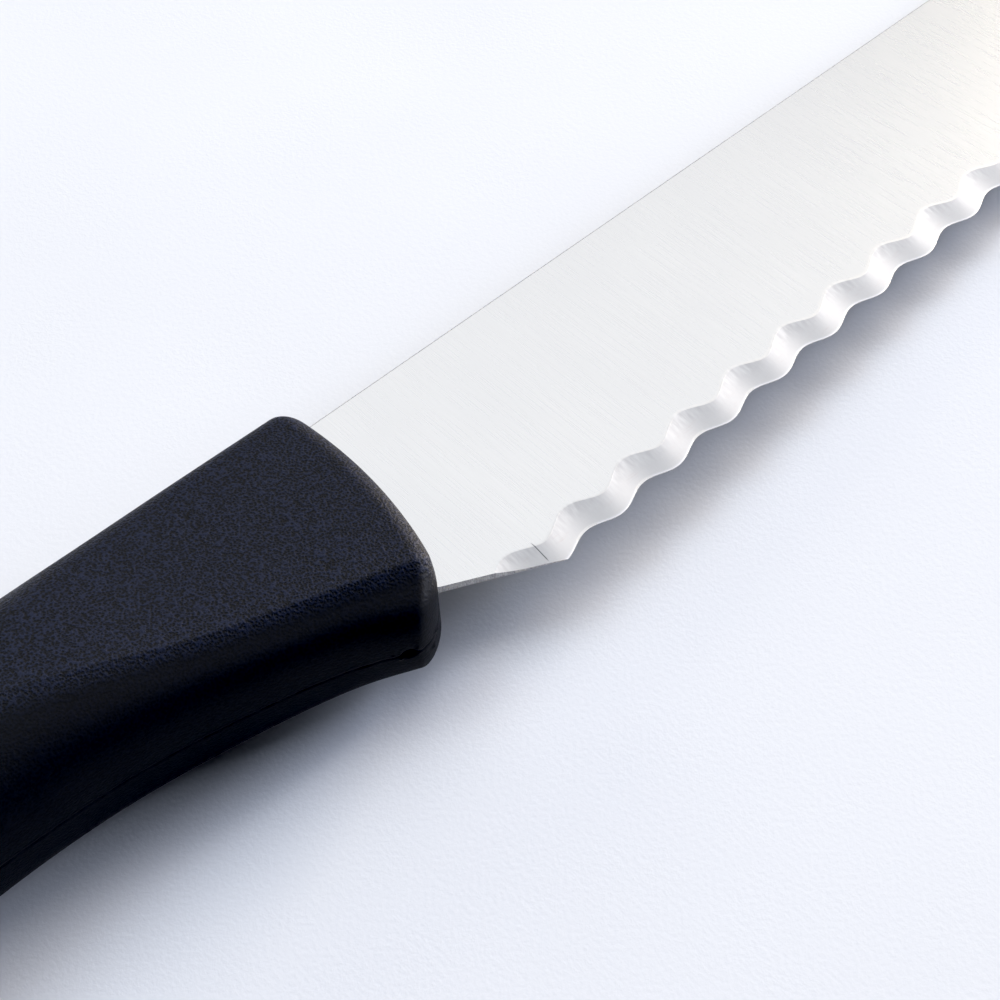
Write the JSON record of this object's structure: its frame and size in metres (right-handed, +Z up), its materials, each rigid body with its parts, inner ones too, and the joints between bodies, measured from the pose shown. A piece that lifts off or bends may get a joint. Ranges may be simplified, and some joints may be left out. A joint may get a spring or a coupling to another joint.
{
  "type": "bread knife",
  "caption": "Scalloped slicing knife for bread and pastry: a thin stamped blade with a wavy one-sided bevel, its tang closed in a soft black moulded handle.",
  "frame": {"origin": "middle of the knife's outline seen from above, on the surface that its lower cheek lies on", "axes": "+X along the blade to the tip, +Y towards the spine, +Z up, square to the blade's mid-plane"},
  "size_m": [0.395, 0.0367, 0.023],
  "materials": {
    "blade_steel": "fine cross-ground satin, brighter scallops",
    "grip_elastomer": "matte black with a navy tint and a fine moulded grain",
    "core_plastic": "plain moulded black plastic, hidden"
  },
  "bodies": {
    "root": {"blade": "blade_steel", "grip": "grip_elastomer", "upper_core": "core_plastic", "lower_core": "core_plastic"}
  },
  "joints": []
}
